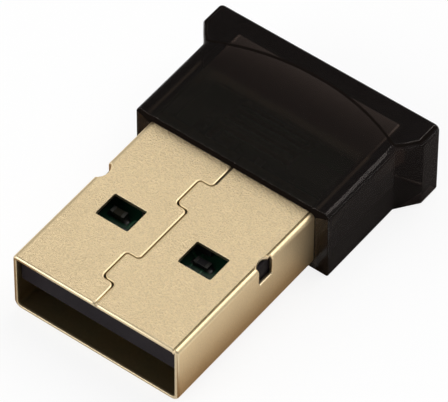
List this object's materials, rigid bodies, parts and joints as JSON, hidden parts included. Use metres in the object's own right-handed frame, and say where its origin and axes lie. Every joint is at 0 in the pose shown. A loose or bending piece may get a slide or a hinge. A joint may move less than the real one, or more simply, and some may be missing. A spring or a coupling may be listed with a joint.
{
  "type": "usb wireless adapter",
  "caption": "Miniature wireless network adapter: a gold plated folded plug shell with locked seam and latch windows, and a smoke translucent housing with a flared rear flange.",
  "frame": {"origin": "centre of the plug's mouth, in the plane of its rim", "axes": "+Y from the mouth to the rear flange along the plug, +Z towards the face with the folded seam, +X to the right seen from the mouth"},
  "size_m": [0.0162, 0.0225, 0.0055],
  "materials": {
    "gold_plate": "satin, fine grained gold plating",
    "black_plastic": "matt black moulding",
    "board_laminate": "green solder mask",
    "contact_gold": "smooth gold plating",
    "chip_moulding": "fine matt epoxy moulding",
    "crystal_lid": "plain metal lid",
    "pale_ceramic": "sintered ceramic with tinned ends",
    "clear_resin": "clear resin on a pale base",
    "copper_track": "copper under solder mask",
    "grey_ceramic": "sintered ferrite with tinned ends",
    "tan_ceramic": "sintered ceramic with tinned ends",
    "resistor_glaze": "black glaze with tinned ends",
    "solder": "bright solder",
    "smoke_plastic": "translucent smoke brown moulding, satin face"
  },
  "bodies": {
    "root": {"plug_shell": "gold_plate", "contact_insert": "black_plastic", "circuit_board": "board_laminate", "power_contact": "contact_gold", "data_minus_contact": "contact_gold", "data_plus_contact": "contact_gold", "ground_contact": "contact_gold", "controller_chip": "chip_moulding", "crystal": "crystal_lid", "voltage_regulator": "chip_moulding", "rf_filter": "pale_ceramic", "status_led": "clear_resin", "printed_antenna": "copper_track", "antenna_inductor": "grey_ceramic", "capacitor_1": "tan_ceramic", "capacitor_2": "tan_ceramic", "capacitor_3": "tan_ceramic", "capacitor_4": "tan_ceramic", "capacitor_5": "tan_ceramic", "resistor_1": "resistor_glaze", "resistor_2": "resistor_glaze", "left_shell_solder": "solder", "right_shell_solder": "solder", "housing": "smoke_plastic"}
  },
  "joints": []
}
